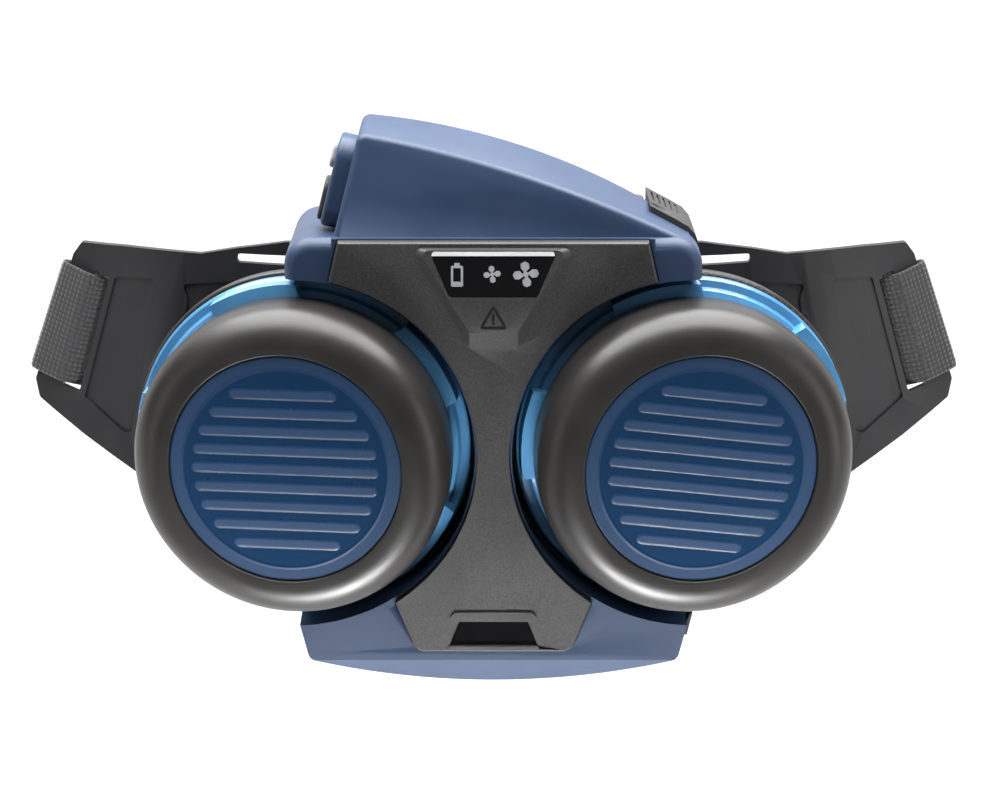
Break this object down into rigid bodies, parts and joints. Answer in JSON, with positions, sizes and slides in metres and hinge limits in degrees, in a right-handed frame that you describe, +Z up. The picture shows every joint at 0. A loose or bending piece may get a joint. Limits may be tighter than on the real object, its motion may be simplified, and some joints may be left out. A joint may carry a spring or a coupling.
{
  "type": "powered air respirator",
  "caption": "Belt-worn powered air respirator blower with twin screw-in filters under push-fit lids, a wedge hump with buttons, battery, hose outlet and a closed webbing belt.",
  "frame": {"origin": "middle of the belt's run across the wearer's back, in the unit's back plane", "axes": "+X to the right as seen from the front, -Y out of the front (away from the wearer), +Z up"},
  "size_m": [0.367, 0.1321, 0.2101],
  "materials": {
    "housing_blue": "fine moulded grain",
    "filter_blue": "smooth moulded",
    "disc_blue": "satin with relief",
    "cover_grey": "fine metallic grain",
    "lid_black": "satin",
    "frame_black": "satin",
    "catch_grey": "matt",
    "display_gloss": "polished",
    "bar_silver": "bright",
    "symbol_grey": "printed",
    "symbol_dark": "printed",
    "button_grey": "matt",
    "button_black": "matt",
    "webbing_black": "woven",
    "buckle_black": "satin",
    "steel": "turned",
    "seal_rubber": "matt",
    "inner_grey": "moulded",
    "fan_white": "moulded",
    "board_green": "lacquered",
    "led_lens": "clear",
    "cell_wrap": "shrink wrap",
    "contact_brass": "bright",
    "filter_paper": "pleated",
    "prefilter_felt": "felt"
  },
  "bodies": {
    "blower": {"front_housing": "housing_blue", "rear_housing": "housing_blue", "housing_screws": "steel", "housing_seal": "seal_rubber", "side_plate": "frame_black", "centre_cover": "cover_grey", "display_window": "display_gloss", "display_bar": "bar_silver", "display_symbols": "symbol_grey", "warning_symbol": "symbol_dark", "name_window": "display_gloss", "left_filter_well": "housing_blue", "right_filter_well": "housing_blue", "left_ear_shell": "housing_blue", "right_ear_shell": "housing_blue", "button_pod": "housing_blue", "switch_board": "board_green", "circuit_board": "board_green", "indicator_leds": "led_lens", "alarm_buzzer": "inner_grey", "scroll_cover": "inner_grey", "fan_scroll": "inner_grey", "motor_body": "steel", "motor_bearings": "steel", "motor_screws": "steel", "hose_outlet": "inner_grey", "outlet_seal": "seal_rubber", "battery_bay": "inner_grey", "battery_contacts": "contact_brass", "left_filter_seat": "lid_black", "right_filter_seat": "lid_black", "belt_frame": "frame_black", "frame_screws": "steel", "waist_belt": "webbing_black", "buckle_socket": "buckle_black", "buckle_plug": "buckle_black", "belt_slider": "buckle_black"},
    "rotor": {"motor_shaft": "steel", "impeller": "fan_white"},
    "upper_button": {"upper_button": "button_grey"},
    "lower_button": {"lower_button": "button_black"},
    "battery": {"battery_case": "inner_grey", "battery_cap": "inner_grey", "battery_cells": "cell_wrap", "catch_spring": "steel"},
    "catch": {"battery_catch": "catch_grey"},
    "buckle_arm_upper": {"buckle_arm_upper": "buckle_black"},
    "buckle_arm_lower": {"buckle_arm_lower": "buckle_black"},
    "left_gasket": {"left_filter_gasket": "seal_rubber"},
    "left_filter": {"left_filter_body": "filter_blue", "left_filter_media": "filter_paper", "left_prefilter": "prefilter_felt"},
    "left_lid": {"left_lid_ring": "lid_black", "left_lid_disc": "disc_blue"},
    "right_gasket": {"right_filter_gasket": "seal_rubber"},
    "right_filter": {"right_filter_body": "filter_blue", "right_filter_media": "filter_paper", "right_prefilter": "prefilter_felt"},
    "right_lid": {"right_lid_ring": "lid_black", "right_lid_disc": "disc_blue"}
  },
  "joints": [
    {"name": "fan_spin", "type": "hinge", "parent": "blower", "child": "rotor", "pos_m": [0, -0.03, -0.042], "axis": [0, 1, 0], "continuous": true},
    {"name": "upper_button_press", "type": "slide", "parent": "blower", "child": "upper_button", "axis": [0.9704, 0, -0.2414], "range_m": [0, 0.001], "stiffness_N_per_m": 600, "springref_m": -0.0015},
    {"name": "lower_button_press", "type": "slide", "parent": "blower", "child": "lower_button", "axis": [0.9704, 0, -0.2414], "range_m": [0, 0.001], "stiffness_N_per_m": 600, "springref_m": -0.0015},
    {"name": "battery_lift", "type": "slide", "parent": "blower", "child": "battery", "axis": [0, 0, 1], "range_m": [0, 0.072]},
    {"name": "catch_slide", "type": "slide", "parent": "battery", "child": "catch", "axis": [1, 0, 0], "range_m": [0, 0.003], "stiffness_N_per_m": 500, "springref_m": -0.002},
    {"name": "buckle_arm_upper_squeeze", "type": "hinge", "parent": "blower", "child": "buckle_arm_upper", "pos_m": [-0.006, 0.034, 0.012], "axis": [0, 1, 0], "range_deg": [0, 7], "stiffness_Nm_per_rad": 0.08, "springref_deg": -2.86},
    {"name": "buckle_arm_lower_squeeze", "type": "hinge", "parent": "blower", "child": "buckle_arm_lower", "pos_m": [-0.006, 0.034, -0.012], "axis": [0, -1, 0], "range_deg": [0, 7], "stiffness_Nm_per_rad": 0.08, "springref_deg": -2.86},
    {"name": "left_filter_advance", "type": "slide", "parent": "blower", "child": "left_gasket", "axis": [-0.1304, -0.9908, -0.0366], "range_m": [0, 0.0062]},
    {"name": "left_filter_turn", "type": "hinge", "parent": "left_gasket", "child": "left_filter", "pos_m": [-0.0732, -0.075, -0.0085], "axis": [-0.1304, -0.9908, -0.0366], "range_deg": [0, 270]},
    {"name": "left_lid_pull", "type": "slide", "parent": "left_filter", "child": "left_lid", "axis": [-0.1304, -0.9908, -0.0366], "range_m": [0, 0.03]},
    {"name": "right_filter_advance", "type": "slide", "parent": "blower", "child": "right_gasket", "axis": [0.1304, -0.9908, -0.0366], "range_m": [0, 0.0062]},
    {"name": "right_filter_turn", "type": "hinge", "parent": "right_gasket", "child": "right_filter", "pos_m": [0.0732, -0.075, -0.0085], "axis": [0.1304, -0.9908, -0.0366], "range_deg": [0, 270]},
    {"name": "right_lid_pull", "type": "slide", "parent": "right_filter", "child": "right_lid", "axis": [0.1304, -0.9908, -0.0366], "range_m": [0, 0.03]}
  ],
  "couplings": [
    {"joint": "buckle_arm_lower_squeeze", "follows": "buckle_arm_upper_squeeze", "ratio": 1},
    {"joint": "left_filter_advance", "follows": "left_filter_turn", "m_per_rad": 0.0012732},
    {"joint": "right_filter_advance", "follows": "right_filter_turn", "m_per_rad": 0.0012732}
  ]
}
